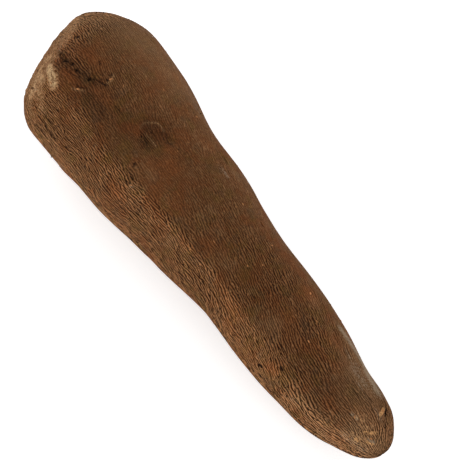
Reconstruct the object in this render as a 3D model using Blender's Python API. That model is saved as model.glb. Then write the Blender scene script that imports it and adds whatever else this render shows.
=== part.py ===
"""A whole yam tuber, lying on its side as it rests on a table.

Metres, +Z up. The tuber lies along X, with its crown end, where the vine grew, towards -X and its
growing tip towards +X. The origin is on the surface that it lies on, under the middle of the tuber.
It grew as one piece, so it is one solid.
"""

import math

import bmesh
import bpy
import numpy as np
from mathutils import Vector, noise
from mathutils.geometry import intersect_point_line

# Driving dimensions, in metres

HEIGHT_SHARE = 0.93  # a section is a little lower than it is wide

# The sections from the crown end to the tip: the distance from the crown end, the half width there,
# how far the section's middle lies towards +Y, and how high it lies. A middle that is lower than
# the section's half height leaves the underside below the table, where it is cut flat.
SECTIONS = (
    (0.000, 0.0000, 0.0040, 0.0395),
    (0.005, 0.0142, 0.0040, 0.0410),
    (0.014, 0.0308, 0.0040, 0.0430),
    (0.027, 0.0418, 0.0033, 0.0454),
    (0.043, 0.0491, 0.0018, 0.0467),
    (0.064, 0.0538, -0.0010, 0.0474),
    (0.088, 0.0535, -0.0010, 0.0468),
    (0.110, 0.0498, 0.0000, 0.0455),
    (0.137, 0.0457, 0.0000, 0.0425),
    (0.165, 0.0420, 0.0010, 0.0395),
    (0.199, 0.0375, 0.0020, 0.0353),
    (0.233, 0.0335, 0.0035, 0.0313),
    (0.266, 0.0326, 0.0035, 0.0296),
    (0.296, 0.0305, 0.0015, 0.0283),
    (0.322, 0.0272, 0.0005, 0.0276),
    (0.341, 0.0247, 0.0030, 0.0272),
    (0.356, 0.0190, 0.0050, 0.0268),
    (0.371, 0.0000, 0.0050, 0.0264),
)

LENGTH = SECTIONS[-1][0]

ROWS = 80  # rows of faces from end to end
SIDES = 64  # faces round each row
# The rows stand closer where the head's relief is: this many times, out to this distance.
HEAD_CLOSENESS = 1.7
HEAD_REACH = 0.150
SAMPLES = 1500  # places at which the skin's length is measured

# Relief of the skin: broad lumps, and shallow furrows that run along the tuber
LUMP_HEIGHT = 0.0034
LUMP_SPAN = 0.052
FURROW_HEIGHT = 0.0020
FURROWS_ROUND = 17
FURROW_LENGTH = 0.110
ROUND_END = 0.028  # both fade at the ends, where the half width is under this

# The crown scar: a rough flat where the vine was attached. It faces back, to one side and up.
SCAR_CENTRE = (0.0195, -0.0167, 0.0516)
SCAR_TURN = math.radians(-32.5)
SCAR_RISE = math.radians(32.0)
SCAR_SOFTNESS = 0.002

# The crease between the two lobes of the head, which starts at the scar: places on the skin, each
# with its distance from the crown end, its angle round the tuber in degrees, and the depth there
CREASE = (
    (0.022, 113, 0.0010),
    (0.038, 111, 0.0032),
    (0.056, 109, 0.0036),
    (0.074, 107, 0.0030),
    (0.086, 101, 0.0022),
    (0.092, 93, 0.0008),
)
CREASE_HALF_WIDTH = 0.0045

# The knot of an old bud on top: its place on the skin, its radius and how far it stands out
KNOT = (0.1345, 92)
KNOT_RADIUS = 0.0072
KNOT_HEIGHT = 0.0025
KNOT_RING_RADIUS = 0.0105  # of the shallow ring that it stands in
KNOT_RING_HALF_WIDTH = 0.0030
KNOT_RING_DEPTH = 0.0008

COLOUR = (0.155, 0.085, 0.045, 1.0)
ROUGHNESS = 0.85


def smooth_table(at, places, values):
    """A smooth line through a table's values, which never swings past them."""
    places, values = np.array(places), np.array(values)
    steps = np.diff(places)
    rises = np.diff(values) / steps
    slopes = np.zeros(len(places))
    slopes[0], slopes[-1] = rises[0], rises[-1]
    for i in range(1, len(places) - 1):
        if rises[i - 1] * rises[i] > 0:
            slopes[i] = 2.0 * rises[i - 1] * rises[i] / (rises[i - 1] + rises[i])
    i = np.clip(np.searchsorted(places, at, side="right") - 1, 0, len(steps) - 1)
    t = (at - places[i]) / steps[i]
    return (
        values[i] * (1 + 2 * t) * (1 - t) ** 2
        + values[i + 1] * t * t * (3 - 2 * t)
        + slopes[i] * steps[i] * t * (1 - t) ** 2
        - slopes[i + 1] * steps[i] * t * t * (1 - t)
    )


def section_at(along):
    """Half width, side shift and height of the section's middle, at a distance from the crown end."""
    places, widths, sides, heights = zip(*SECTIONS)
    # The square of the half width is what runs evenly into a round end.
    square = smooth_table(along, places, [width * width for width in widths])
    return (
        math.sqrt(max(square, 0.0)),
        float(smooth_table(along, places, sides)),
        float(smooth_table(along, places, heights)),
    )


def row_places():
    """The distance of each row from the crown end, spaced along the skin."""
    samples = 0.5 * LENGTH * (1.0 - np.cos(np.linspace(0.0, math.pi, SAMPLES)))
    widths = np.array([section_at(along)[0] for along in samples])
    steps = np.hypot(np.diff(samples), np.diff(widths))
    steps *= np.where(samples[1:] < HEAD_REACH, HEAD_CLOSENESS, 1.0)
    skin = np.concatenate([[0.0], np.cumsum(steps)])
    return np.interp(np.linspace(0.0, skin[-1], ROWS + 1), skin, samples)


def smooth_point(along, angle):
    """A point of the tuber without its relief, and the direction in which relief stands out there."""
    half_width, side, height = section_at(along)
    out = Vector((0.0, math.cos(angle), HEIGHT_SHARE * math.sin(angle)))
    return Vector((along, side, height)) + half_width * out, out.normalized()


def crease_places():
    """The crease's places as points on the skin, each with its depth."""
    places = []
    for along, degrees, depth in CREASE:
        places.append((smooth_point(along, math.radians(degrees))[0], depth))
    return places


def crease_depth(point, places):
    """The depth of the crease at a point, from the stretch of it that is nearest."""
    deepest = 0.0
    for (start, start_depth), (end, end_depth) in zip(places, places[1:]):
        share = min(max(intersect_point_line(point, start, end)[1], 0.0), 1.0)
        away = (point - start.lerp(end, share)).length / CREASE_HALF_WIDTH
        depth = start_depth + (end_depth - start_depth) * share
        deepest = max(deepest, depth * math.exp(-away * away))
    return deepest


def knot_height(point, centre):
    """How far the knot stands out at a point: a low dome in a shallow ring."""
    away = (point - centre).length
    dome = KNOT_HEIGHT * math.exp(-((away / KNOT_RADIUS) ** 4))
    from_ring = (away - KNOT_RING_RADIUS) / KNOT_RING_HALF_WIDTH
    return dome - KNOT_RING_DEPTH * math.exp(-from_ring * from_ring)


def skin_height(along, angle, point):
    """How far the skin stands out at a place, from its lumps and its furrows."""
    lump = noise.noise(point / LUMP_SPAN) * LUMP_HEIGHT
    reach = FURROWS_ROUND / math.tau
    grain = Vector((math.cos(angle) * reach, math.sin(angle) * reach, along / FURROW_LENGTH))
    return lump + noise.noise(grain) * FURROW_HEIGHT


def press_scar(point):
    """Moves a point that lies past the crown scar's plane back onto it, with a soft rim."""
    normal = Vector(
        (
            -math.cos(SCAR_RISE) * math.cos(SCAR_TURN),
            math.cos(SCAR_RISE) * math.sin(SCAR_TURN),
            math.sin(SCAR_RISE),
        )
    )
    past = (point - Vector(SCAR_CENTRE)).dot(normal)
    pressed = SCAR_SOFTNESS * math.log1p(math.exp(past / SCAR_SOFTNESS))
    return point - normal * pressed


def tuber_mesh():
    """The tuber's skin, from a sphere whose rows become sections and whose poles become the two ends."""
    shape = bmesh.new()
    bmesh.ops.create_uvsphere(shape, u_segments=SIDES, v_segments=ROWS, radius=1.0)
    rows = row_places()
    crease = crease_places()
    knot = smooth_point(KNOT[0], math.radians(KNOT[1]))[0]
    for vert in shape.verts:
        along = float(rows[round(math.acos(max(-1.0, min(1.0, vert.co.z))) / math.pi * ROWS)])
        angle = math.atan2(vert.co.y, vert.co.x)
        point, out = smooth_point(along, angle)
        height = skin_height(along, angle, point) * min(1.0, section_at(along)[0] / ROUND_END)
        height += knot_height(point, knot) - crease_depth(point, crease)
        vert.co = press_scar(point + out * height)
    cut_flat_underneath(shape)
    bmesh.ops.recalc_face_normals(shape, faces=shape.faces)
    centre_on_origin(shape)
    mesh = bpy.data.meshes.new("yam_tuber")
    shape.to_mesh(mesh)
    shape.free()
    mesh.shade_smooth()
    return mesh


def cut_flat_underneath(shape):
    """Takes off what reaches below the table, so that the tuber rests on small flats."""
    everything = [*shape.verts, *shape.edges, *shape.faces]
    cut = bmesh.ops.bisect_plane(
        shape, geom=everything, dist=1e-5, plane_co=(0, 0, 0), plane_no=(0, 0, 1), clear_inner=True
    )
    rim = [item for item in cut["geom_cut"] if isinstance(item, bmesh.types.BMEdge)]
    bmesh.ops.holes_fill(shape, edges=rim)


def centre_on_origin(shape):
    """Sets the origin under the middle of the tuber's box."""
    corners = np.array([vert.co for vert in shape.verts])
    middle = (corners.min(axis=0) + corners.max(axis=0)) / 2
    bmesh.ops.translate(shape, verts=shape.verts, vec=(-middle[0], -middle[1], 0.0))


def skin_material():
    material = bpy.data.materials.new("yam_skin")
    material.use_nodes = True
    shader = material.node_tree.nodes["Principled BSDF"]
    shader.inputs["Base Color"].default_value = COLOUR
    shader.inputs["Roughness"].default_value = ROUGHNESS
    shader.inputs["Metallic"].default_value = 0.0
    return material


def main():
    for obj in list(bpy.data.objects):
        bpy.data.objects.remove(obj)
    tuber = bpy.data.objects.new("yam_tuber", tuber_mesh())
    tuber.data.materials.append(skin_material())
    bpy.context.scene.collection.objects.link(tuber)


if __name__ == "__main__":
    main()
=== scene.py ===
"""The look of a whole yam tuber, laid out as a Blender add-on.

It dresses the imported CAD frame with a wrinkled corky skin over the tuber's solid, the dry stubs of
its rootlets and loose flakes of its skin, on a plain pale stage in soft light. Sizes are in metres.
"""

import functools
import itertools
import math

import bmesh
import bpy
import numpy as np
from bpy.props import FloatProperty, FloatVectorProperty, IntProperty, PointerProperty
from mathutils import Matrix, Vector, noise
from mathutils.bvhtree import BVHTree


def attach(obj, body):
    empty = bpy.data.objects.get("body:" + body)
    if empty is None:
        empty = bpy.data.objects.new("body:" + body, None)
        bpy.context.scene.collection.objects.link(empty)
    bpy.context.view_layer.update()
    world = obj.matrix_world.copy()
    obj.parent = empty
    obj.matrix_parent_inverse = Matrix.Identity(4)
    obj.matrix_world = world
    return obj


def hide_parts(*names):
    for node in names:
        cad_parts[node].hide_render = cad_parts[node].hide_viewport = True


bl_info = {
    "name": "Yam Tuber Look",
    "version": (1, 0, 0),
    "blender": (4, 5, 0),
    "location": "View3D > Sidebar > Yam",
    "description": "Dresses the packed yam tuber with its skin, rootlet stubs and flakes",
    "category": "Mesh",
}

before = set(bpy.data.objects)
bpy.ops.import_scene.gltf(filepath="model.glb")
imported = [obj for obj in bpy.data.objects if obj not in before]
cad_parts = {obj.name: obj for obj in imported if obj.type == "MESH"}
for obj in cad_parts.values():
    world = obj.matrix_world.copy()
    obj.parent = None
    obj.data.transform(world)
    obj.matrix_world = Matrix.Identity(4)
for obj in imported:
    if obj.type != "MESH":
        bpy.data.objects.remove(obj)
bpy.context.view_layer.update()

DRY_SHEEN = 0.05  # of every surface here
NODE = "yam_tuber"
BODY = "root"
SKIN_NAME = "tuber_skin"
STUBS_NAME = "rootlet_stubs"
FLAKES_NAME = "skin_flakes"
FLOOR_NAME = "floor"
MM = 0.001

# How the smooth form is read from the CAD solid
MERGE = 1e-6
CROWN_REACH = 0.045  # the rays fan out over this much of the crown end
TIP_REACH = 0.021
STATION_STEP = 0.004
STATION_REACH = 0.0055
MIDDLE_PASSES = 6  # of smoothing along the middle line
RADIUS_RAYS = 24
FORM_ROWS = 240
FORM_SIDES = 480
FORM_BLUR_ROWS = 1.8  # in rows of the reading, enough to take the solid's facets out
FORM_BLUR_SIDES = 4.0

# How the skin's rows and sides are shared out: more of them where the photographed relief is
ROW_WEIGHTS = ((0.0, 2.0), (0.008, 1.5), (0.030, 1.35), (0.110, 1.3), (0.150, 1.0), (0.360, 1.0))
TIP_WEIGHTS = ((0.050, 1.0), (0.030, 1.3), (0.008, 1.6), (0.0, 2.2))
UNDERSIDE_WEIGHT = 0.42  # of the sides that face down, against 1 for those that face up
UNDERSIDE_SINES = (-0.85, -0.35)  # the weight changes between these sines of a side's angle
SHARING_STEPS = 2000

# The angle at which the wrinkles cross the tuber's length, in degrees, from the crown end to the tip
GRAIN_ANGLES = ((0.0, 10.0), (0.15, 9.0), (0.30, 6.0), (0.45, 2.0), (0.65, -2.0), (0.80, -4.5), (1.0, -3.0))
LEAST_GIRTH = 0.5  # of the widest ring: thinner rings turn the grain as if they were this wide

# The rings of the grain are no smaller than this at the two ends, so that its wrinkles run on there
END_GIRTHS = (0.028, 0.013)

# How much further they lean on the right side
HEAD_LEAN = math.radians(16.0)
BODY_LEAN = math.radians(4.0)

# How alike the fine wrinkles' directions are. Gabor noise turns each one by a part of half a turn, to
# one side only, so that they are turned back by half of that part.
LIKENESS = 0.78
TURN_BACK = -0.5 * math.pi * (1.0 - LIKENESS)

# Where the fine relief is, each face is cut into this many more rows
REFINING_CUTS = 2
SAME_ROW = 1e-6  # on the unit sphere, less than between two rows

# How the bundles of wrinkles are drawn
BUNDLE_WAVES = 1.6  # wrinkles side by side in a bundle
BUNDLES_IN_CELL = 2
BUNDLE_DRAWS = 65521
BUNDLE_STRIDES = (7919, 104729, 15485863)

# The crown scar's plane: a point on it and the way it faces
SCAR_POINT = Vector((-0.1573, -0.0151, 0.0641))
SCAR_NORMAL = Vector((-0.7152, -0.4557, 0.5299)).normalized()
SCAR_EDGE_INSIDE = -0.0008
SCAR_EDGE_OUTSIDE = -0.0030
SCAR_MARGIN = 0.0015  # the refined rows reach this far past the scar's edge
MARK_MARGIN = 0.0012  # and this far past a mark's own reach
MARK_REACH = 2.2  # in half widths

# The relief of the skin
RIDGE_LEVELS = (-1.5, 1.0)  # the waves' values at a ridge's foot and at its crest
RIDGE_SHARES = (0.15, 0.32)  # of a ridge's height: where it is weakest, and what the strongest adds
CORK_CALM = 0.75  # how much of the wrinkles the cork takes away
CORK_SPREAD = 1.3
SMALL_LUMPS = 0.45  # the width of the scar's small lumps against that of the others
WOBBLE_SPAN = 0.003  # over which a crack or a rim grows deeper and shallower
RAGGED_SPAN = 0.004  # of the scar's ragged edge
RAGGED_REACH = 0.0012
DEEPEST_CRACK = 1.1
BARE_DEPTH = 0.4  # of a bare patch, against a pit
RISE_FROM_TABLE = 0.004  # the relief fades in over this height
MODELLED_MARKS = ("crack", "pit", "rim", "bare", "knot")  # the rows are finer round these

# Zones of the skin. Each has a strength, and ranges over which it sets in: along X in metres, or by
# how far the skin faces right, from -1 to 1.
WRINKLED_ZONES = (
    (1.0, ("right", -0.30, -0.85)),
    (0.06, ("right", 0.30, 0.90)),
    (0.22, ("along", -0.05, 0.05), ("along", 0.150, 0.125)),
    (0.75, ("along", -0.120, -0.150)),
    (0.42, ("along", 0.158, 0.176)),
)
WRINKLED_SPAN = 0.020  # over which the wrinkles grow stronger and weaker
WRINKLED_SWING = 0.16
CALM_ZONES = (
    (0.45, ("right", 0.10, 0.50), ("along", -0.02, -0.08), ("along", -0.145, -0.110)),
    (0.45, ("right", 0.35, 0.80), ("along", 0.165, 0.150)),
    (0.30, ("along", -0.09, -0.06), ("along", 0.07, 0.02)),
)
LEFT_FLANK = (-0.30, -0.50)  # the skin faces this far right where the calm zones end
LEAN_ZONES = (
    (math.tan(HEAD_LEAN), ("right", -0.20, 0.70), ("along", -0.05, -0.11)),
    (math.tan(BODY_LEAN), ("right", -0.40, 0.30), ("along", -0.05, 0.0)),
)

# The shader's nodes stand in columns and rows this far apart
COLUMN, ROW = 200, 180
SHADER_COLUMN = 34

# What the skin's material reads from the mesh, beside the grain
SKIN_SHARES = ("ridge", "cork", "dark", "bare", "dust_and_sheen", "reddish", "pale", "shade")
SKIN_SHARES += ("wrinkled", "lean", "calm")
SHADE = (0.50, 0.45, 0.42, 1.0)  # what a shaded patch keeps of each colour

# Marks on the skin, as seen from above: for each kind, every mark's half width in millimetres, its
# strength, and the places it runs through, in millimetres along X and Y.
MARKS = {
    "crack": (
        (1.0, 0.6, ((-159, -6.2), (-148, -12), (-138.5, -15.9))),
        (1.1, 0.8, ((-138.5, -15.9), (-132, -17.6), (-127.8, -16.9), (-122.6, -15.2))),
        (1.2, 0.9, ((-116.9, -15.9), (-110.4, -14.2), (-105.5, -13.2), (-102.8, -10.2))),
        (1.0, 0.9, ((-102.8, -10.2), (-98.2, -8.8), (-93, -7.2))),
        (0.8, 0.7, ((-106.5, -21.8), (-103, -20.6), (-100.5, -17.5))),
        (0.8, 0.7, ((-124, -19.5), (-119, -20.5), (-114, -19))),
        (0.8, 0.8, ((-115.3, -48.7), (-104.7, -48.4), (-94.6, -48.1))),
        (0.7, 0.6, ((-119, -46.5), (-109, -45.4), (-98, -45))),
        (0.7, 0.6, ((-113, -51.3), (-103, -51), (-92, -50.6))),
        (0.7, 0.5, ((-96, -44.5), (-86, -43.6))),
        (0.9, 0.6, ((-57.0, -5.8), (-53.5, -6.3), (-49.0, -5.8), (-43.8, -4.9))),
        (1.0, 0.5, ((-50.2, 4.2), (-46, 3.6), (-41.5, 3.3))),
        (0.8, 0.4, ((-62, -3), (-61.5, 1.5), (-59, 5.5))),
        (0.7, 0.6, ((117, -13.2), (120.5, -11.8), (124, -11))),
        (0.7, 0.4, ((115.5, 18.5), (118, 19.4), (121, 17.6))),
        (0.9, 1.1, ((166.2, 21.3), (168.0, 19.2), (170.2, 17.0))),
    ),
    "pit": (
        (1.7, 1.3, ((-138.5, -15.9),)),
        (1.7, 1.2, ((-128.5, -18.0),)),
        (1.6, 1.3, ((-122.6, -15.2),)),
        (1.5, 1.1, ((-116.9, -15.9),)),
        (1.3, 0.9, ((-111.5, -16.8),)),
        (1.7, 1.2, ((-105.5, -13.2),)),
        (1.2, 0.9, ((-101.5, -12.0),)),
        (1.5, 0.8, ((-159.0, -6.2),)),
        (1.3, 1.1, ((-138.6, -3.0), (-136.8, -1.8))),
        (1.0, 0.8, ((-135.2, 15.9),)),
        (0.9, 0.7, ((-132.9, 10.7),)),
        (0.9, 0.7, ((-127.7, 14.2),)),
        (1.1, 0.8, ((-110.0, -2.0), (-108.0, -2.6))),
        (1.3, 1.0, ((-98.9, -40.1),)),
        (1.1, 0.9, ((-85.5, -45.9),)),
        (1.1, 0.8, ((-51.5, -1.2),)),
        (1.5, 1.0, ((-42.0, -20.6),)),
        (1.1, 0.9, ((-37.6, -26.4), (-35.8, -26.0))),
        (1.1, 0.7, ((-37, -29.8), (-35.4, -29.4))),
        (1.3, 1.1, ((100.8, -26.0), (103.0, -25.8))),
        (1.4, 1.1, ((104.5, -28.2),)),
        (1.2, 1.0, ((112.4, -18.8), (114.0, -18.8))),
        (1.0, 0.9, ((115.6, -22.4),)),
        (1.1, 0.6, ((119.6, 19.2),)),
        (1.0, 0.5, ((125.4, 12.2),)),
    ),
    # Dark: the first three paint shade in the crease below the crown and the hollow beside it; the others
    # are stains.
    "dark": (
        (5.5, 0.40, ((-150, -11), (-138, -16), (-120, -16), (-106, -13))),
        (4.5, 0.40, ((-120, -15), (-108, -17), (-100, -11))),
        (7.0, 0.42, ((-94, -21), (-82, -18))),
        (1.5, 0.9, ((-97, -1), (-96, -4.5))),
        (4.0, 0.50, ((-52.5, -8.0), (-46, -7.5))),
        (3.2, 0.50, ((-48, 6.0), (-41, 5.5))),
        (5.0, 0.40, ((108, -27), (122, -26))),
        (6.0, 0.35, ((125, -5), (136, -8))),
    ),
    "red": (
        (4.8, 1.1, ((-119, -22.5), (-114, -21.5))),
        (3.0, 1.0, ((-154, -9.5), (-144, -13.5), (-134, -20))),
        (5.0, 0.6, ((-120, -30), (-110, -27))),
        (6.0, 0.7, ((-128, -8), (-118, -5), (-108, -2))),
        (5.0, 0.6, ((-93, -13), (-84, -12))),
        (3.0, 0.9, ((-58.5, -6.5), (-57.5, -8.0))),
        (3.5, 0.8, ((-38, 2.0), (-34, 4.0))),
        (3.6, 1.0, ((107, -24), (110, -22.8))),
        (5.5, 0.9, ((162, 3), (170, 4))),
        (4.0, 0.8, ((160, -16), (166, -13))),
    ),
    "rim": (
        (0.8, 1.0, ((-106.5, -25.2), (-103.2, -23.4), (-100, -20.2))),
        (0.8, 1.3, ((-96.2, 0.2), (-93.9, -2.4), (-94.0, -6.2))),
        (0.8, 1.35, ((-58.9, -4.6), (-60, -1), (-57.8, 2.6), (-55.7, 6.1), (-52.2, 6.9), (-49.6, 6.6))),
        (0.7, 1.3, ((-53, -4.6), (-49, -4.1), (-43.6, -3.1))),
        (0.8, 0.8, ((160.5, -3.0), (165.0, 1.5), (168.5, 2.0))),
    ),
    "cork": (
        (6.0, 1.0, ((-152, -25), (-144, -32), (-136, -38), (-131.5, -44))),
        (5.0, 1.0, ((-160, -18), (-148.6, -19.5))),
        (3.6, 1.6, ((-136, -26.5), (-129, -29), (-122.5, -30.5), (-119, -32.6))),
        (5.0, 1.0, ((-140, -32), (-129, -35.5))),
        (5.5, 0.9, ((-134.4, -41), (-124.8, -41.5))),
        (4.5, 0.55, ((-124.8, -41.5), (-119, -43), (-116, -45.5))),
        (6.0, 0.35, ((-128, -48), (-117, -50.5))),
        (3.5, 0.45, ((-158, 3), (-152, 5))),
        (5.0, 0.48, ((163, 2.5), (171, 3))),
        (5.0, 0.48, ((166, -9), (175, -3))),
        (6.0, 0.30, ((150, -14), (160, -13))),
    ),
    "bare": (
        (1.3, 0.42, ((-164.5, 3.2),)),
        (1.5, 0.42, ((-154.5, 4.5),)),
        (1.45, 0.72, ((168.8, 13.6), (166.4, 18.4))),
        (1.7, 0.58, ((171.8, -0.6), (175.6, 4.8))),
        (1.2, 0.60, ((170.5, -6.5), (173, -5.5))),
        (1.4, 0.60, ((176.5, -2.0), (179.0, 0.5))),
        (1.0, 0.60, ((161.0, -2.2), (164.5, 1.0))),
    ),
    "knot": (
        (10.0, 1.0, ((-51, 0),)),
    ),
    # Dust and sheen: the three broad marks from 112 to 156 mm along paint a grey sheen on the right side;
    # the others are dust.
    "dust_and_sheen": (
        (1.4, 0.7, ((-34.0, -29.1), (-32.6, -28.6))),
        (4.0, 0.80, ((112, 27.5), (126, 27.8), (134, 27.2), (142, 26.4))),
        (5.0, 0.80, ((142, 25.0), (156, 22.5))),
        (5.0, 0.50, ((136, 20), (150, 17))),
        (1.5, 0.55, ((126, 20.5), (131, 20))),
        (1.6, 0.50, ((146, 13.6), (152, 13))),
        (1.4, 0.70, ((160.0, -1.4), (163.5, 0.0))),
        (1.6, 0.65, ((176.0, -0.2), (179.0, 1.8))),
        (2.5, 0.45, ((166, 12.5), (171, 12))),
        (3.0, 0.35, ((126, -24.5), (132, -22))),
        (5.0, 0.45, ((166, -10), (178, -5))),
    ),
    # Pale: the first four paint light on the head's top and along the left flank, the last three are worn
    # skin on the tip.
    "pale": (
        (20.0, 0.8, ((-158, 14), (-135, 26), (-112, 34))),
        (18.0, 0.5, ((-112, 34), (-80, 38))),
        (14.0, 0.18, ((-126, -46), (-60, -46))),
        (12.0, 0.20, ((-60, -45), (-20, -36), (40, -28.5), (110, -26))),
        (14.0, 0.8, ((135, 20), (165, 8), (180, 2))),
        (12.0, 1.25, ((168, -3), (180, 1))),
        (9.0, 0.6, ((140, -20), (165, -14), (178, -4))),
    ),
    "shade": (
        (17.0, 0.50, ((-118, -14), (-84, -18), (-62, -12))),
        (13.0, 0.95, ((-52, 0),)),
        (16.0, 0.30, ((-45, 2), (60, 0), (140, -2))),
        (17.0, 0.45, ((-100, -42), (-60, -44), (0, -32), (40, -29))),
    ),
}

# Small marks all over the skin: what each is, how many, the ranges of its half width in millimetres
# and of its strength, and how far it runs in millimetres
SCATTERED = (
    ("pit", 60, (0.6, 1.1), (0.4, 0.9), 0.0),
    ("crack", 70, (0.45, 0.75), (0.35, 0.75), 9.0),
    ("dark", 34, (1.5, 5.0), (0.2, 0.5), 8.0),
    ("dust_and_sheen", 22, (1.0, 4.5), (0.2, 0.55), 7.0),
    ("red", 34, (2.5, 6.5), (0.3, 0.8), 9.0),
)
SCATTER_SEED = 11

# Where the scattered ones lie: the first of them and their spread, as shares of the length, and for
# stubs and flakes in degrees round the tuber too
MARK_ROWS = (0.06, 0.91)
STUB_SPREAD = ((0.08, 0.86), (-25.0, 230.0))
FLAKE_SPREAD = ((0.05, 0.92), (-20.0, 220.0))
STUB_LEAN = math.radians(35.0)
FLAKE_TURN = 1.2  # the range of a scattered flake's turn, in radians

# Rootlet stubs that the photograph shows, seen from above in millimetres
SHOWN_STUBS = ((-155.6, -27.0), (-165.9, -5.5), (-171.7, 2.6), (-155.6, 22.6), (-151.5, 26.0))
# Flakes that the photograph shows: place in millimetres, turn in degrees, size against the usual
SHOWN_FLAKES = (
    (-94.6, -3.0, 60.0, 1.3),
    (-103.2, -23.0, 35.0, 1.1),
    (-120.5, -33.0, -30.0, 1.0),
    (-33.6, -28.8, 25.0, 0.9),
    (166.6, 17.2, 10.0, 1.1),
    (162.0, -0.8, -40.0, 0.8),
    (176.5, 1.0, 30.0, 0.8),
)


def a_length(name, description, default, least=0.0):
    """A setting that is a length in metres."""
    return FloatProperty(
        name=name, description=description, default=default, min=least, precision=5, unit="LENGTH"
    )


def a_colour(name, description, *default):
    """A setting that is a colour."""
    return FloatVectorProperty(
        name=name, description=description, default=default, min=0.0, max=1.0, subtype="COLOR"
    )


def an_angle(name, description, degrees):
    """A setting that is an angle."""
    return FloatProperty(
        name=name, description=description, default=math.radians(degrees), subtype="ANGLE", unit="ROTATION"
    )


def a_count(name, description, default, least, most):
    """A setting that is a whole number."""
    return IntProperty(name=name, description=description, default=default, min=least, max=most)


class YamSkinSettings(bpy.types.PropertyGroup):
    """Sizes of the tuber's skin."""

    faces_round: a_count("Faces round", "Faces round the tuber", 480, 64, 700)
    rows: a_count("Rows", "Rows of faces from end to end", 138, 32, 240)
    ridge_width: a_length("Ridge width", "Width of a wrinkle", 0.0024, 0.0004)
    ridge_length: a_length("Ridge length", "Length of a wrinkle", 0.0115, 0.001)
    ridge_height: a_length("Ridge height", "Height of a wrinkle", 0.00075)
    wrinkle_width: a_length("Wrinkle width", "Width of a fine wrinkle in the finish", 0.00142, 0.0002)
    wrinkle_length: a_length("Wrinkle length", "Length of a fine wrinkle in the finish", 0.0048, 0.0005)
    wrinkle_height: a_length("Wrinkle height", "Height of a fine wrinkle in the finish", 0.0008)
    sway_span: a_length("Sway span", "Distance over which the wrinkles sway from side to side", 0.012, 0.001)
    sway: a_length("Sway", "How far the wrinkles sway", 0.0005)
    drift_span: a_length("Drift span", "Distance over which the wrinkles drift to one side", 0.045, 0.001)
    drift: a_length("Drift", "How far the wrinkles drift", 0.005)
    fold_width: a_length("Fold width", "Width of a broad fold", 0.0045, 0.001)
    fold_length: a_length("Fold length", "Length of a broad fold", 0.026, 0.001)
    fold_height: a_length("Fold height", "Height of a broad fold", 0.00045)
    scar_grain: a_length("Scar grain", "Width of a lump on the crown scar", 0.0026, 0.0005)
    scar_height: a_length("Scar height", "Height of the lumps on the crown scar", 0.0011)
    crack_depth: a_length("Crack depth", "Depth of the cracks", 0.0012)
    pit_depth: a_length("Pit depth", "Depth of the pits", 0.0009)
    rim_height: a_length("Rim height", "Height of the raised rims", 0.0006)


class YamColourSettings(bpy.types.PropertyGroup):
    """Colours of the tuber's skin."""

    crest: a_colour("Crest", "Skin on the wrinkles", 0.400, 0.172, 0.066)
    # The groove colour is painted shade: the dark between the wrinkles stands for the shade that falls in
    # the grooves.
    groove_shade: a_colour("Groove", "Skin between the wrinkles", 0.018, 0.0056, 0.0014)
    reddish: a_colour("Reddish", "Reddish patches of skin", 0.310, 0.100, 0.031)
    olive: a_colour("Olive", "Olive patches of skin", 0.250, 0.132, 0.034)
    grey: a_colour("Grey", "Grey patches of skin", 0.190, 0.102, 0.050)
    # Pale is also painted light: the pale marks lay it on the head's top and along the left flank where
    # light falls; on the tip it is worn skin.
    pale: a_colour("Pale", "Paler, worn skin of the head and the flanks", 0.540, 0.292, 0.136)
    cork_light: a_colour("Light cork", "The lightest cork of the crown scar", 0.760, 0.500, 0.260)
    cork: a_colour("Cork", "Pale cork of the crown scar", 0.600, 0.325, 0.150)
    cork_shade: a_colour("Cork shade", "Darker cork of the crown scar", 0.200, 0.088, 0.036)
    bare: a_colour("Bare flesh", "Dried flesh where the skin has come off", 0.780, 0.400, 0.160)
    # This colour is laid as dust, and as a painted grey sheen on the right side near the tip.
    dust_and_sheen_colour: a_colour("Dust", "Pale dust in the skin", 0.380, 0.300, 0.205)
    # The dark is stains, and partly painted shade in the cracks, the pits and the crease below the crown.
    dark: a_colour("Dark", "Cracks, pits and stains", 0.014, 0.0065, 0.004)


class YamTrimSettings(bpy.types.PropertyGroup):
    """Sizes of the rootlet stubs and the flakes of skin."""

    stub_count: a_count("Stubs", "Number of rootlet stubs beyond those shown", 30, 0, 200)
    stub_length: a_length("Stub length", "Length of a rootlet stub", 0.0008)
    stub_radius: a_length("Stub radius", "Radius of a rootlet stub", 0.00042)
    flake_count: a_count("Flakes", "Number of flakes beyond those shown", 36, 0, 400)
    flake_size: a_length("Flake size", "Length of a flake of skin", 0.0022)
    flake_thickness: a_length("Flake thickness", "Thickness of a flake of skin", 0.00014)
    flake_lift: a_length("Flake lift", "How far the loose edge of a flake stands off the skin", 0.0003)


class YamStageSettings(bpy.types.PropertyGroup):
    """The floor, the light and the camera."""

    floor_size: a_length("Floor size", "Side of the floor", 6.0, 0.5)
    floor_colour: a_colour("Floor colour", "Colour of the floor", 0.85, 0.85, 0.85)
    floor_glow: FloatProperty(
        name="Floor glow", description="Strength of the light from under the floor", default=0.55, min=0.0
    )
    sky: FloatProperty(
        name="Soft light", description="Strength of the light from all round", default=0.50, min=0.0
    )
    side_light: FloatProperty(
        name="Side lights", description="Power of each large side light", default=4.0, min=0.0, unit="POWER"
    )
    side_size: a_length("Side light size", "Side of a side light", 0.8, 0.01)
    azimuth: an_angle("Azimuth", "Turn of the camera round the upright axis", 55.0)
    elevation: an_angle("Elevation", "Height of the camera above the level", 60.0)
    distance: a_length("Distance", "From the camera to the point it looks at", 0.819, 0.1)
    lens: FloatProperty(
        name="Lens", description="Focal length in millimetres", default=100.0, min=10.0, unit="CAMERA"
    )


def bell(width):
    """How far a Gaussian blur of this width reaches, and its steps, each with its share."""
    reach = int(3 * width)
    steps = np.arange(-reach, reach + 1)
    shares = np.exp(-0.5 * (steps / width) ** 2)
    return reach, list(zip(steps, shares / shares.sum()))


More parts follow.
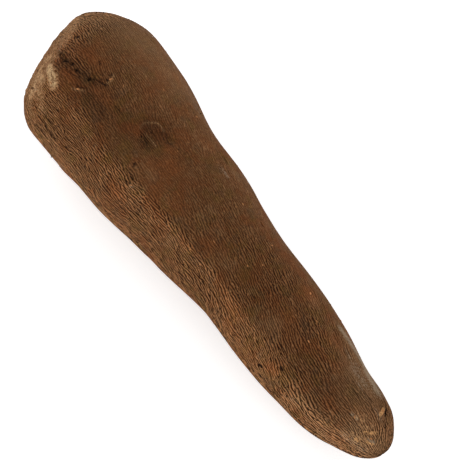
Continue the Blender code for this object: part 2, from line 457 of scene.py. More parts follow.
class TuberForm:
    """The tuber's smooth outer form, read from its CAD solid by rays from its middle line.

    A place on the form is a distance along the skin from the crown end, and an angle round the
    middle line. The rays fan out over the crown end and over the tip.
    """

    def __init__(self, node):
        solid = bmesh.new()
        solid.from_mesh(node.data)
        bmesh.ops.remove_doubles(solid, verts=solid.verts, dist=MERGE)
        self.tree = BVHTree.FromBMesh(solid)
        corners = np.array([vert.co for vert in solid.verts])
        solid.free()
        self.start = corners[:, 0].min() + CROWN_REACH
        self.end = corners[:, 0].max() - TIP_REACH
        self.read_middle(corners)
        self.crown_arc = 0.5 * math.pi * self.mean_radius(self.start)
        self.tip_arc = 0.5 * math.pi * self.mean_radius(self.end)
        self.length = self.crown_arc + (self.end - self.start) + self.tip_arc
        self.read_distances()

    def read_middle(self, corners):
        """The middle line: halfway between the lowest and the highest corner near each station."""
        count = int((self.end - self.start) / STATION_STEP) + 1
        self.stations = np.linspace(self.start, self.end, count)
        middles = []
        for station in self.stations:
            near = corners[np.abs(corners[:, 0] - station) < STATION_REACH]
            middles.append((near.min(axis=0) + near.max(axis=0))[1:] / 2)
        middles = np.array(middles)
        for _ in range(MIDDLE_PASSES):
            padded = np.vstack([middles[:1], middles, middles[-1:]])
            middles = (padded[:-2] + 2 * padded[1:-1] + padded[2:]) / 4
        self.middles = middles

    def mean_radius(self, station):
        """The solid's mean radius at a station of the middle line."""
        origins = self.origins(np.array([station]))
        reach = []
        for angle in np.linspace(0.0, math.tau, RADIUS_RAYS, endpoint=False):
            way = Vector((0.0, math.cos(angle), math.sin(angle)))
            reach.append(self.tree.ray_cast(Vector(origins[0]), way)[3])
        return float(np.mean(reach))

    def origins(self, x):
        """Points of the middle line."""
        y = np.interp(x, self.stations, self.middles[:, 0])
        z = np.interp(x, self.stations, self.middles[:, 1])
        return np.stack([x, y, z], axis=-1)

    def fan(self, rows):
        """How far each row's rays turn towards an end, as an angle: to the crown is positive."""
        crown = np.clip(1.0 - rows / self.crown_arc, 0.0, 1.0)
        tip = np.clip(1.0 - (self.length - rows) / self.tip_arc, 0.0, 1.0)
        return 0.5 * math.pi * (crown - tip)

    def rays(self, rows, angles):
        """The start and the direction of the ray to each place."""
        x = np.clip(self.start + rows - self.crown_arc, self.start, self.end)
        turn = self.fan(rows)
        ways = np.stack(
            [-np.sin(turn), np.cos(turn) * np.cos(angles), np.cos(turn) * np.sin(angles)], axis=-1
        )
        return self.origins(x), ways

    def read_distances(self):
        """The distance to the skin at an even grid of places, smoothed over the solid's facets."""
        self.grid_rows = np.linspace(0.0, self.length, FORM_ROWS)
        angles = np.linspace(0.0, math.tau, FORM_SIDES, endpoint=False)
        rows, angles = np.meshgrid(self.grid_rows, angles, indexing="ij")
        starts, ways = self.rays(rows.ravel(), angles.ravel())
        cast = self.tree.ray_cast
        found = [cast(Vector(start), Vector(way))[3] for start, way in zip(starts, ways)]
        if None in found:
            raise RuntimeError("a ray from the middle line missed the tuber's solid")
        distances = np.array(found).reshape(FORM_ROWS, FORM_SIDES)
        self.distances = self.blurred(distances)
        self.girths = self.distances.mean(axis=1) * np.cos(self.fan(self.grid_rows))
        places, degrees = zip(*GRAIN_ANGLES)
        lean = np.tan(np.radians(np.interp(self.grid_rows / self.length, places, degrees)))
        girths = np.maximum(self.girths, LEAST_GIRTH * self.girths.max())
        self.turns = np.cumsum(lean / girths * (self.length / (FORM_ROWS - 1)))

    @staticmethod
    def blurred(distances):
        """A Gaussian blur along both axes that carries on across the poles and the seam."""
        _, sides = bell(FORM_BLUR_SIDES)
        smooth = sum(part * np.roll(distances, step, axis=1) for step, part in sides)
        reach, across = bell(FORM_BLUR_ROWS)
        turned = np.roll(smooth, FORM_SIDES // 2, axis=1)
        padded = np.vstack([turned[reach:0:-1], smooth, turned[-2 : -reach - 2 : -1]])
        rows = len(smooth)
        return sum(part * padded[reach + step : reach + step + rows] for step, part in across)

    def points(self, rows, angles):
        """The points of the smooth form at these places."""
        starts, ways = self.rays(rows, angles)
        across = rows / self.length * (FORM_ROWS - 1)
        row = np.clip(across.astype(int), 0, FORM_ROWS - 2)
        row_share = across - row
        along = (angles % math.tau) / math.tau * FORM_SIDES
        side = along.astype(int) % FORM_SIDES
        side_share = along - along.astype(int)
        after = (side + 1) % FORM_SIDES
        first, second = (
            self.distances[at, side] * (1 - side_share) + self.distances[at, after] * side_share
            for at in (row, row + 1)
        )
        distance = first * (1 - row_share) + second * row_share
        return starts + ways * distance[:, None]

    def grain(self, rows, angles):
        """Places as if the tuber were a straight stack of rings: patterns that follow it read these."""
        girth = np.interp(rows, self.grid_rows, self.girths)
        girth = np.maximum(girth, np.interp(rows, (0.0, self.length), END_GIRTHS))
        angles = angles + np.interp(rows, self.grid_rows, self.turns)
        return np.stack([girth * np.cos(angles), girth * np.sin(angles), rows], axis=-1)


@functools.cache
def tuber_form():
    """The form of the frame's tuber, read once."""
    return TuberForm(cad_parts[NODE])


def smooth_step(low, high, value):
    share = np.clip((value - low) / (high - low), 0.0, 1.0)
    return share * share * (3.0 - 2.0 * share)


def noise_at(points, cells, seed=0.0):
    """Smooth noise at each point, from about -1 to 1, with cells of this size along each axis."""
    scaled = points / np.array(cells) + seed
    found = noise.noise
    return np.array([found(place) for place in scaled.tolist()])


def wave_bundles(places, waves, lean, seed):
    """Noise, about -2 to 2, of short bundles of parallel waves that cross the way round the tuber.

    The places are measured in bundles: across it along the first two axes, and along it. The lean is
    the slope at which the waves cross the grain there, in the same measure.
    """
    draws = np.random.default_rng(seed).random((BUNDLE_DRAWS, 4))
    first_cell = np.floor(places).astype(int)
    way_round = np.stack([-places[:, 1], places[:, 0]], axis=-1)
    way_round /= np.maximum(np.linalg.norm(way_round, axis=1, keepdims=True), 1e-9)
    total = np.zeros(len(places))
    for offset in itertools.product((-1, 0, 1), repeat=3):
        cell = first_cell + np.array(offset)
        index = cell @ np.array(BUNDLE_STRIDES)
        for part in range(BUNDLES_IN_CELL):
            draw = draws[(index + part * BUNDLE_STRIDES[0]) % BUNDLE_DRAWS]
            away = places - cell - draw[:, :3]
            swell = np.maximum(1.0 - (away * away).sum(axis=1), 0.0) ** 2
            turns = waves * ((away[:, :2] * way_round).sum(axis=1) + lean * away[:, 2]) + draw[:, 3]
            total += swell * np.sin(math.tau * turns)
    return total / total.std()


def away_from(points, line):
    """The distance of each point from a line through several places."""
    line = np.array(line)
    nearest = np.full(len(points), np.inf)
    if len(line) == 1:
        return np.linalg.norm(points - line[0], axis=1)
    for start, end in zip(line, line[1:]):
        run = end - start
        share = np.clip((points - start) @ run / (run @ run), 0.0, 1.0)
        nearest = np.minimum(nearest, np.linalg.norm(points - start - share[:, None] * run, axis=1))
    return nearest


def seen_from_above(tree, x, y):
    """The point that shows from above at a place given in millimetres, and its normal."""
    point, normal = tree.ray_cast(Vector((x * MM, y * MM, 1.0)), Vector((0.0, 0.0, -1.0)))[:2]
    if point is None:
        raise RuntimeError(f"nothing of the tuber lies under {x:.1f}, {y:.1f} mm")
    return point, normal


def between(low_high, share):
    low, high = low_high
    return low + (high - low) * share


def all_marks(form):
    """The marks as points on the skin: those in the table, and small ones scattered all over."""
    found = []
    for what, marks in MARKS.items():
        for radius, strength, places in marks:
            line = [seen_from_above(form.tree, x, y)[0] for x, y in places]
            found.append((what, radius * MM, strength, np.array(line)))
    scatter = np.random.default_rng(SCATTER_SEED)
    first_row, spread = MARK_ROWS
    for what, count, radii, strengths, reach in SCATTERED:
        for _ in range(count):
            row, angle, radius, strength, run = scatter.random(5)
            row = form.length * (first_row + spread * row)
            rows = np.array([row, min(row + (0.3 + 0.7 * run) * reach * MM, form.length)])
            turns = np.interp(rows, form.grid_rows, form.turns)
            line = form.points(rows, angle * math.tau - turns)
            radius = between(radii, radius) * MM
            found.append((what, radius, between(strengths, strength), line if reach else line[:1]))
    return found


def skin_places(shape, form):
    """The row and the angle of each vertex, from its place on the unit sphere."""
    unit = np.array([vert.co for vert in shape.verts])
    polar = np.arccos(np.clip(unit[:, 2] / np.linalg.norm(unit, axis=1), -1.0, 1.0)) / math.pi
    rows = np.linspace(0.0, form.length, SHARING_STEPS)
    crown = np.interp(rows, *zip(*ROW_WEIGHTS))
    tip = np.interp(form.length - rows, *zip(*reversed(TIP_WEIGHTS)))
    steps = np.concatenate([[0.0], np.cumsum((crown * tip)[1:])])
    angles = np.linspace(-0.5 * math.pi, 1.5 * math.pi, SHARING_STEPS)
    weight = UNDERSIDE_WEIGHT + (1 - UNDERSIDE_WEIGHT) * smooth_step(*UNDERSIDE_SINES, np.sin(angles))
    turns = np.concatenate([[0.0], np.cumsum(weight[1:])])
    share = (np.arctan2(unit[:, 1], unit[:, 0]) / math.tau) % 1.0
    return (
        np.interp(polar, steps / steps[-1], rows),
        np.interp(share, turns / turns[-1], angles),
    )


def above_scar(points):
    """How far each point lies past the crown scar's plane."""
    return (points - np.array(SCAR_POINT)) @ np.array(SCAR_NORMAL)


def scar_share(points):
    """1 on the crown scar, 0 off it."""
    ragged = noise_at(points, RAGGED_SPAN, 31.0) * RAGGED_REACH
    return smooth_step(SCAR_EDGE_OUTSIDE, SCAR_EDGE_INSIDE, above_scar(points) + ragged)


def close_to(points, line, reach):
    """The indices of the points in the line's box, when that is widened by a reach."""
    low, high = line.min(axis=0) - reach, line.max(axis=0) + reach
    return np.flatnonzero(np.all((points > low) & (points < high), axis=1))


def refine(shape, points, marks):
    """Divides the rows again where the fine relief is, on the sphere."""
    wanted = above_scar(points) > SCAR_EDGE_OUTSIDE - SCAR_MARGIN
    for what, radius, _, line in marks:
        if what in MODELLED_MARKS:
            close = close_to(points, line, 4 * radius)
            wanted[close[away_from(points[close], line) < MARK_REACH * radius + MARK_MARGIN]] = True
    edges = []
    for edge in shape.edges:
        first, second = edge.verts
        if wanted[first.index] and wanted[second.index] and abs(first.co.z - second.co.z) > SAME_ROW:
            edges.append(edge)
    bmesh.ops.subdivide_edges(shape, edges=edges, cuts=REFINING_CUTS, use_grid_fill=True)
    shape.verts.ensure_lookup_table()
    shape.verts.index_update()


def mark_shares(points, marks):
    """For each kind of mark, how strongly it shows at each point, from 0 to 1."""
    shares = {}
    for what, radius, strength, line in marks:
        close = close_to(points, line, 3 * radius)
        away = away_from(points[close], line) / radius
        share = shares.setdefault(what, np.zeros(len(points)))
        share[close] = np.maximum(share[close], strength * np.exp(-away * away))
    return shares


def skin_relief(points, grain, lean, shares, wrinkled, calm, sizes):
    """How far the skin stands out at each point, and the wrinkles' share of it from -1 to 1."""
    cork = np.maximum(scar_share(points), np.minimum(shares["cork"] * CORK_SPREAD, 1.0))
    plain = (1.0 - CORK_CALM * cork) * calm
    across = sizes.ridge_width * BUNDLE_WAVES
    places = grain / np.array((across, across, sizes.ridge_length))
    waves = wave_bundles(places, BUNDLE_WAVES, lean * sizes.ridge_length / across, 5)
    ridge = 2.0 * smooth_step(*RIDGE_LEVELS, waves) - 1.0
    weakest, added = RIDGE_SHARES
    height = 0.5 * sizes.ridge_height * ridge * plain * (weakest + added * wrinkled)
    fold = noise_at(grain, (sizes.fold_width, sizes.fold_width, sizes.fold_length), 7.0)
    height += sizes.fold_height * fold * plain
    lumps = noise_at(points, sizes.scar_grain, 3.0)
    lumps += 0.5 * noise_at(points, sizes.scar_grain * SMALL_LUMPS, 5.0)
    height += 0.5 * sizes.scar_height * lumps * cork
    wobble = 0.75 + 0.6 * noise_at(points, WOBBLE_SPAN, 43.0)
    height -= sizes.crack_depth * np.minimum(shares["crack"], DEEPEST_CRACK) * wobble
    height -= sizes.pit_depth * shares["pit"]
    height += sizes.rim_height * shares["rim"] * wobble
    height -= BARE_DEPTH * sizes.pit_depth * np.minimum(shares["bare"], 0.8)
    return height, ridge


def zone_strengths(points, normals, zones):
    """How strong each zone is at each point."""
    measures = {"along": points[:, 0], "right": normals[:, 1]}
    found = []
    for strength, *ranges in zones:
        share = np.full(len(points), strength)
        for measure, low, high in ranges:
            share *= smooth_step(low, high, measures[measure])
        found.append(share)
    return np.array(found)


def wrinkled_share(points, normals):
    """How strong the wrinkles are, from 0 on top of the head to 1 on the left flank."""
    share = zone_strengths(points, normals, WRINKLED_ZONES).max(axis=0)
    return np.clip(share + WRINKLED_SWING * noise_at(points, WRINKLED_SPAN, 83.0), 0.0, 1.0)


def wrinkles_calm(points, normals):
    """How strongly the wrinkles stand out: less on the right of the head and on the middle."""
    left = smooth_step(*LEFT_FLANK, normals[:, 1])
    return 1.0 - zone_strengths(points, normals, CALM_ZONES).max(axis=0) * (1.0 - left)


def wrinkles_lean(points, normals):
    """The slope at which the wrinkles cross the grain: steepest on the right of the head."""
    return zone_strengths(points, normals, LEAN_ZONES).sum(axis=0)


def add_attribute(mesh, name, values):
    """Stores a value, or a vector, at each vertex for the material to read."""
    kind = "FLOAT" if values.ndim == 1 else "FLOAT_VECTOR"
    field = "value" if values.ndim == 1 else "vector"
    attribute = mesh.attributes.new(name, kind, "POINT")
    attribute.data.foreach_set(field, values.astype(np.float32).ravel())


def set_points(shape, points):
    for vert, point in zip(shape.verts, points.tolist()):
        vert.co = point


def mesh_of(shape, name):
    """A mesh of what the bmesh holds. The bmesh is freed."""
    mesh = bpy.data.meshes.new(name)
    shape.to_mesh(mesh)
    shape.free()
    return mesh


def new_object(name, mesh, material):
    """An object at the origin for a mesh that is already in place."""
    mesh.materials.append(material)
    mesh.shade_smooth()
    obj = bpy.data.objects.new(name, mesh)
    bpy.context.scene.collection.objects.link(obj)
    return obj


def make_skin_mesh(form, sizes):
    """The skin's mesh: a sphere drawn out over the form, with the relief raised from it."""
    shape = bmesh.new()
    bmesh.ops.create_uvsphere(shape, u_segments=sizes.faces_round, v_segments=sizes.rows, radius=1.0)
    marks = all_marks(form)
    refine(shape, form.points(*skin_places(shape, form)), marks)
    rows, angles = skin_places(shape, form)
    smooth = form.points(rows, angles)
    set_points(shape, smooth)
    shape.normal_update()
    bmesh.ops.recalc_face_normals(shape, faces=shape.faces)
    shape.normal_update()
    if shape.calc_volume(signed=True) < 0.0:
        raise RuntimeError("the skin's faces look inwards")
    normals = np.array([vert.normal for vert in shape.verts])

    grain = form.grain(rows, angles)
    for span, reach, seeds in (
        (sizes.drift_span, sizes.drift, (61.0, 73.0)),
        (sizes.sway_span, sizes.sway, (11.0, 23.0)),
    ):
        grain[:, :2] += reach * np.stack([noise_at(grain, span, seed) for seed in seeds], axis=-1)
    shares = mark_shares(smooth, marks)
    wrinkled = wrinkled_share(smooth, normals)
    lean = wrinkles_lean(smooth, normals)
    calm = wrinkles_calm(smooth, normals)
    height, ridge = skin_relief(smooth, grain, lean, shares, wrinkled, calm, sizes)
    height *= smooth_step(0.0, RISE_FROM_TABLE, smooth[:, 2])
    points = smooth + normals * height[:, None]
    points[:, 2] = np.maximum(points[:, 2], 0.0)
    set_points(shape, points)
    shape.normal_update()

    mesh = mesh_of(shape, SKIN_NAME)
    for name, values in {
        "grain": grain,
        "ridge": 0.5 + 0.5 * ridge,
        "cork": np.maximum(shares["cork"], 0.50 * scar_share(smooth)),
        # Partly painted shade in the cracks, the pits and the crease, with the skin's stains.
        "dark": np.maximum.reduce([shares["dark"], shares["crack"], shares["pit"]]),
        "bare": np.maximum(shares["bare"], 0.33 * shares["rim"]),
        "dust_and_sheen": shares["dust_and_sheen"],
        "reddish": shares["red"],
        # Painted light on the head's top and the left flank, worn skin on the tip, and raised rims laid
        # paler.
        "pale": np.maximum(shares["pale"], 1.2 * shares["rim"]),
        "shade": shares["shade"],
        "wrinkled": wrinkled,
        "lean": lean,
        "calm": calm,
    }.items():
        add_attribute(mesh, name, values)
    return mesh


def node(tree, kind, inputs=None, **settings):
    """Adds a shader node. Each input is a socket to link from, or a value to set.

    It stands a column to the right of the furthest node that it reads, below the others there.
    """
    sources = [value for value in (inputs or {}).values() if isinstance(value, bpy.types.NodeSocket)]
    column = max((source.node.location.x + COLUMN for source in sources), default=0)
    row = sum(other.location.x == column for other in tree.nodes)
    made = tree.nodes.new(kind)
    made.location = (column, -row * ROW)
    for name, value in settings.items():
        setattr(made, name, value)
    for name, value in (inputs or {}).items():
        if isinstance(value, bpy.types.NodeSocket):
            tree.links.new(value, made.inputs[name])
        else:
            made.inputs[name].default_value = value
    return made


def maths(tree, operation, *values, clamp=False):
    """The result of a Math node."""
    inputs = dict(enumerate(values))
    return node(tree, "ShaderNodeMath", inputs, operation=operation, use_clamp=clamp).outputs[0]


def times(tree, first, second):
    return maths(tree, "MULTIPLY", first, second)


def vector_maths(tree, operation, *values):
    """The result of a Vector Math node."""
    return node(tree, "ShaderNodeVectorMath", dict(enumerate(values)), operation=operation).outputs[0]


def ramp(tree, value, low, high, to=(0.0, 1.0)):
    """A value brought smoothly from one range to another."""
    inputs = {"Value": value, "From Min": low, "From Max": high, "To Min": to[0], "To Max": to[1]}
    return node(tree, "ShaderNodeMapRange", inputs, interpolation_type="SMOOTHSTEP").outputs["Result"]


def noise_texture(tree, vector, scale, detail, roughness, **more):
    """Soft noise from 0 to 1. With a W, which works as a seed, it has four dimensions."""
    inputs = {"Vector": vector, "Scale": scale, "Detail": detail, "Roughness": roughness, **more}
    dimensions = "4D" if "W" in more else "3D"
    return node(tree, "ShaderNodeTexNoise", inputs, noise_dimensions=dimensions).outputs[0]


def blend_colours(tree, share, first, second, kind="MIX"):
    """The first colour turned into the second by a share."""
    inputs = {0: share, 6: first, 7: second}
    return node(tree, "ShaderNodeMix", inputs, data_type="RGBA", blend_type=kind).outputs[2]


def ragged(tree, share, grit, strength):
    """A share whose edge is ragged, by noise round a half that is added to it."""
    return maths(tree, "ADD", share, times(tree, maths(tree, "SUBTRACT", grit, 0.5), strength))


def tint(colour, strength=1.0):
    """A colour at this strength, for a node's socket."""
    return (*(part * strength for part in colour), 1.0)


def new_group(name, inputs, outputs):
    """An empty shader group, and the sockets at its two ends. An input with no default is a vector."""
    group = bpy.data.node_groups.new(name, "ShaderNodeTree")
    for socket, default in inputs.items():
        kind = "NodeSocketVector" if default is None else "NodeSocketFloat"
        made = group.interface.new_socket(socket, in_out="INPUT", socket_type=kind)
        if default is not None:
            made.default_value = default
    for socket in outputs:
        group.interface.new_socket(socket, in_out="OUTPUT", socket_type="NodeSocketFloat")
    start = group.nodes.new("NodeGroupInput")
    end = group.nodes.new("NodeGroupOutput")
    start.location = (-COLUMN, 0)
    end.location = (10 * COLUMN, 0)
    return group, start.outputs, end.inputs


def stretched(group, vector, width, length):
    """Places measured in cells that are this wide across the grain and this long along it."""
    across = maths(group, "DIVIDE", 1.0, width)
    along = maths(group, "DIVIDE", 1.0, length)
    scale = node(group, "ShaderNodeCombineXYZ", {"X": across, "Y": across, "Z": along})
    return vector_maths(group, "MULTIPLY", vector, scale.outputs[0])


def wrinkles_group():
    """Fine wrinkles that run along the grain: their height, and a tone for each of them."""
    found = bpy.data.node_groups.get("skin_wrinkles")
    if found:
        return found
    group, given, made = new_group(
        "skin_wrinkles",
        {"Grain": None, "Width": 0.001, "Length": 0.006, "Lean": 0.0},
        ("Height", "Tone"),
    )
    bundle = times(group, given["Width"], BUNDLE_WAVES)
    place = stretched(group, given["Grain"], bundle, given["Length"])
    round_it = vector_maths(group, "CROSS_PRODUCT", (0.0, 0.0, 1.0), place)
    round_it = vector_maths(group, "NORMALIZE", round_it)
    turned = {"Vector": round_it, "Angle": TURN_BACK}
    round_it = node(group, "ShaderNodeVectorRotate", turned, rotation_type="Z_AXIS").outputs[0]
    lean = times(group, given["Lean"], maths(group, "DIVIDE", given["Length"], bundle))
    lean = node(group, "ShaderNodeCombineXYZ", {"Z": lean}).outputs[0]
    waves = node(
        group,
        "ShaderNodeTexGabor",
        {"Vector": place, "Scale": 1.0, "Frequency": BUNDLE_WAVES, "Anisotropy": LIKENESS},
        gabor_type="3D",
    )
    # Two of its inputs are named Orientation, and this is the one in three dimensions.
    group.links.new(vector_maths(group, "ADD", round_it, lean), waves.inputs[5])
    tone = noise_texture(group, place, 2.2, 2.0, 0.7, W=9.0)
    group.links.new(ramp(group, waves.outputs["Value"], 0.42, 0.56), made["Height"])
    group.links.new(ramp(group, tone, 0.30, 0.70), made["Tone"])
    return group


def mottle_group():
    """Soft patches of a given width and length, as a mask."""
    found = bpy.data.node_groups.get("skin_mottle")
    if found:
        return found
    group, given, made = new_group(
        "skin_mottle",
        {"Position": None, "Width": 0.01, "Length": 0.01, "Seed": 0.0, "Cover": 0.5, "Softness": 0.16},
        ("Mask",),
    )
    place = stretched(group, given["Position"], given["Width"], given["Length"])
    patch = noise_texture(group, place, 1.0, 3.0, 0.6, W=given["Seed"])
    low = maths(group, "SUBTRACT", 0.80, times(group, given["Cover"], 0.6))
    high = maths(group, "ADD", low, given["Softness"])
    group.links.new(ramp(group, patch, low, high), made["Mask"])
    return group


def mottle(tree, position, size, seed, cover, softness=0.16):
    """A mask of patches. The size is one measure, or the width and the length along the grain."""
    width, length = size if isinstance(size, tuple) else (size, size)
    inputs = {"Position": position, "Width": width, "Length": length}
    inputs.update({"Seed": seed, "Cover": cover, "Softness": softness})
    return node(tree, "ShaderNodeGroup", inputs, node_tree=mottle_group()).outputs["Mask"]


def attribute(tree, name, output="Fac"):
    return node(tree, "ShaderNodeAttribute", None, attribute_name=name).outputs[output]


def new_material(name):
    """A material with only its shader and its output, and that shader."""
    material = bpy.data.materials.new(name)
    material.use_nodes = True
    shader = material.node_tree.nodes["Principled BSDF"]
    shader.location = (SHADER_COLUMN * COLUMN, 0)
    material.node_tree.nodes["Material Output"].location = ((SHADER_COLUMN + 2) * COLUMN, 0)
    shader.inputs["Metallic"].default_value = 0.0
    shader.inputs["Specular IOR Level"].default_value = DRY_SHEEN
    return material, material.node_tree, shader


def finish_surface(tree, shader, colour, roughness, height, strength, distance):
    """Gives the shader its colour, its roughness and a bump of this height."""
    bump = node(tree, "ShaderNodeBump", {"Strength": strength, "Distance": distance, "Height": height})
    tree.links.new(colour, shader.inputs["Base Color"])
    tree.links.new(roughness, shader.inputs["Roughness"])
    tree.links.new(bump.outputs[0], shader.inputs["Normal"])


def skin_material(colours, sizes):
    """The dry corky skin."""
    material, tree, shader = new_material("yam_skin_dry")
    position = node(tree, "ShaderNodeTexCoord").outputs["Object"]
    grain = attribute(tree, "grain", "Vector")
    shares = {name: attribute(tree, name) for name in SKIN_SHARES}
    calm, cork = shares["calm"], shares["cork"]
    speck = noise_texture(tree, position, 950.0, 3.0, 0.65)
    streaks = noise_texture(tree, position, 640.0, 4.0, 0.75, Distortion=0.8)

    # The wrinkles are mixed from the fine ones and the modelled ridges. Their crests are painted lit and
    # their grooves painted in shade, that painted shade strongest on the left flank and weaker where the
    # skin is calm.
    inputs = {"Grain": grain, "Lean": shares["lean"]}
    inputs.update({"Width": sizes.wrinkle_width, "Length": sizes.wrinkle_length})
    wrinkles = node(tree, "ShaderNodeGroup", inputs, node_tree=wrinkles_group())
    fine, tone = wrinkles.outputs["Height"], wrinkles.outputs["Tone"]
    coarse = ramp(tree, shares["wrinkled"], 0.25, 1.0, (0.04, 0.36))
    inputs = {0: coarse, 2: fine, 3: shares["ridge"]}
    relief = node(tree, "ShaderNodeMix", inputs, data_type="FLOAT").outputs[0]
    lit = ramp(tree, relief, 0.20, 0.80)
    # How strongly the painted shade darkens the grooves: most on the left flank.
    groove_shade_strength = times(tree, ramp(tree, shares["wrinkled"], 0.0, 1.0, (0.34, 1.85)), calm)
    lit = times(tree, maths(tree, "SUBTRACT", lit, 0.62), groove_shade_strength)
    lit = maths(tree, "ADD", lit, 0.35, clamp=True)
    colour = blend_colours(tree, lit, tint(colours.groove_shade), tint(colours.crest))
    lighter = ramp(tree, tone, 0.60, 1.0, (0.0, 0.25))
    colour = blend_colours(tree, lighter, colour, tint(colours.pale, 0.8))
    darker = ramp(tree, tone, 0.0, 0.35, (0.30, 0.0))
    colour = blend_colours(tree, darker, colour, tint(colours.reddish, 0.35))

    # Patches: where, how strong, the colour, and its strength in the grooves and on the crests, which paints
    # a shaded and a lit copy of each colour
    for mask, strength, patch, groove_shade, crest in (
        (mottle(tree, position, 0.016, 3.0, 0.55), 0.65, colours.reddish, 0.28, 1.0),
        (mottle(tree, position, 0.012, 17.0, 0.50), 0.50, colours.olive, 0.28, 1.0),
        (mottle(tree, position, 0.009, 29.0, 0.46), 0.50, colours.grey, 0.28, 1.0),
        (mottle(tree, position, 0.020, 37.0, 0.42), 0.35, colours.pale, 0.28, 1.0),
        (shares["reddish"], 0.75, colours.reddish, 0.45, 1.25),
        (shares["pale"], 0.62, colours.pale, 0.12, 1.0),
    ):
        skin = blend_colours(tree, lit, tint(patch, groove_shade), tint(patch, crest))
        colour = blend_colours(tree, times(tree, mask, strength), colour, skin)

    # Flecks along the grain: their length, seed, strength and colour. They grow with the painted shade in
    # the grooves.
    for length, seed, strength, fleck in (
        (0.0013, 41.0, 0.60, colours.pale),
        (0.0019, 57.0, 0.75, colours.dark),
    ):
        share = times(tree, mottle(tree, grain, (0.0005, length), seed, 0.34, 0.08), strength)
        colour = blend_colours(tree, times(tree, share, groove_shade_strength), colour, tint(fleck))
    colour = blend_colours(tree, shares["shade"], colour, SHADE, "MULTIPLY")
    gritty = ramp(tree, speck, 0.30, 0.70, (0.72, 1.28))
    grey = node(tree, "ShaderNodeCombineColor", dict.fromkeys(("Red", "Green", "Blue"), gritty))
    colour = blend_colours(tree, 1.0, colour, grey.outputs[0], "MULTIPLY")

    # Cork, lightest on the middle of the scar
    corky = blend_colours(
        tree, ramp(tree, streaks, 0.42, 0.57), tint(colours.cork_shade), tint(colours.cork)
    )
    light = times(tree, ramp(tree, cork, 0.65, 1.30), ramp(tree, streaks, 0.41, 0.55, (0.10, 1.0)))
    corky = blend_colours(tree, light, corky, tint(colours.cork_light))
    cork_share = times(tree, ramp(tree, ragged(tree, cork, streaks, 1.8), 0.20, 0.80), 0.92)
    colour = blend_colours(tree, cork_share, colour, corky)

    # Bare flesh, dust with a painted grey sheen on the right side near the tip, and the dark of cracks, pits
    # and stains, which is partly painted shade in the cracks, the pits and the crease
    share = times(tree, ramp(tree, ragged(tree, shares["bare"], streaks, 1.5), 0.34, 0.62), 0.9)
    flesh = blend_colours(
        tree, ramp(tree, streaks, 0.40, 0.56), tint(colours.bare, 0.42), tint(colours.bare)
    )
    colour = blend_colours(tree, share, colour, flesh)
    share = times(tree, ramp(tree, ragged(tree, shares["dust_and_sheen"], speck, 1.6), 0.25, 0.95), 0.62)
    colour = blend_colours(tree, share, colour, tint(colours.dust_and_sheen_colour))
    broken = ramp(tree, streaks, 0.38, 0.58, (0.40, 1.20))
    share = ramp(tree, times(tree, shares["dark"], broken), 0.12, 1.0)
    colour = blend_colours(tree, share, colour, tint(colours.dark))

    # The bump: fine wrinkles where there is no cork, streaks where there is, and specks all over
    plain = times(tree, maths(tree, "SUBTRACT", 1.0, cork_share), calm)
    corky = times(tree, streaks, times(tree, cork_share, 2.0))
    height = maths(tree, "ADD", times(tree, fine, plain), corky)
    height = maths(tree, "ADD", height, times(tree, speck, 0.4))
    roughness = ramp(tree, relief, 0.1, 0.9, (0.95, 0.80))
    finish_surface(tree, shader, colour, roughness, height, 1.0, sizes.wrinkle_height)
    return material


def trim_material(name, pale, shade, size):
    """The finish of the small loose parts: two colours in soft patches."""
    material, tree, shader = new_material(name)
    position = node(tree, "ShaderNodeTexCoord").outputs["Object"]
    fine = noise_texture(tree, position, 1800.0, 3.0, 0.6)
    mixed = times(tree, maths(tree, "ADD", mottle(tree, position, size, 5.0, 0.5), fine), 0.5)
    colour = blend_colours(tree, ramp(tree, mixed, 0.2, 0.7), tint(shade), tint(pale))
    roughness = ramp(tree, fine, 0.3, 0.7, (0.75, 0.95))
    finish_surface(tree, shader, colour, roughness, fine, 0.6, 0.0002)
    return material


def skin_surface():
    """The finished skin's surface, for the parts that sit on it."""
    skin = bpy.data.objects.get(SKIN_NAME)
    if skin is None:
        raise RuntimeError("build the skin first")
    shape = bmesh.new()
    shape.from_mesh(skin.data)
    tree = BVHTree.FromBMesh(shape)
    shape.free()
    return tree


def scattered_place(tree, form, spread, row, share):
    """A point of the skin and its normal, from two random shares of a spread along and round it."""
    (first_row, rows), (first_angle, degrees) = spread
    row = form.length * (first_row + rows * row)
    angle = math.radians(first_angle + degrees * share)
    starts, ways = form.rays(np.array([row]), np.array([angle]))
    point, normal = tree.ray_cast(Vector(starts[0]), Vector(ways[0]))[:2]
    if normal.dot(Vector(ways[0])) < 0.0:
        normal = -normal
    return point, normal


def frame_on(point, normal, turn):
    """A place and a direction on the skin as a matrix: Z along the normal, turned about it."""
    along = Vector((1.0, 0.0, 0.0))
    side = normal.cross(along).normalized()
    along = side.cross(normal).normalized()
    axes = Matrix((along, side, normal)).transposed().to_4x4()
    return Matrix.Translation(point) @ axes @ Matrix.Rotation(turn, 4, "Z")


class YAM_OT_skin(bpy.types.Operator):
    """Builds the tuber's skin over its CAD solid"""

    bl_idname = "yam.skin"
    bl_label = "Tuber skin"

    def execute(self, context):
        sizes = context.scene.yam_skin
        form = tuber_form()
        mesh = make_skin_mesh(form, sizes)
        skin = new_object(SKIN_NAME, mesh, skin_material(context.scene.yam_colours, sizes))
        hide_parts(NODE)
        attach(skin, BODY)
        return {"FINISHED"}


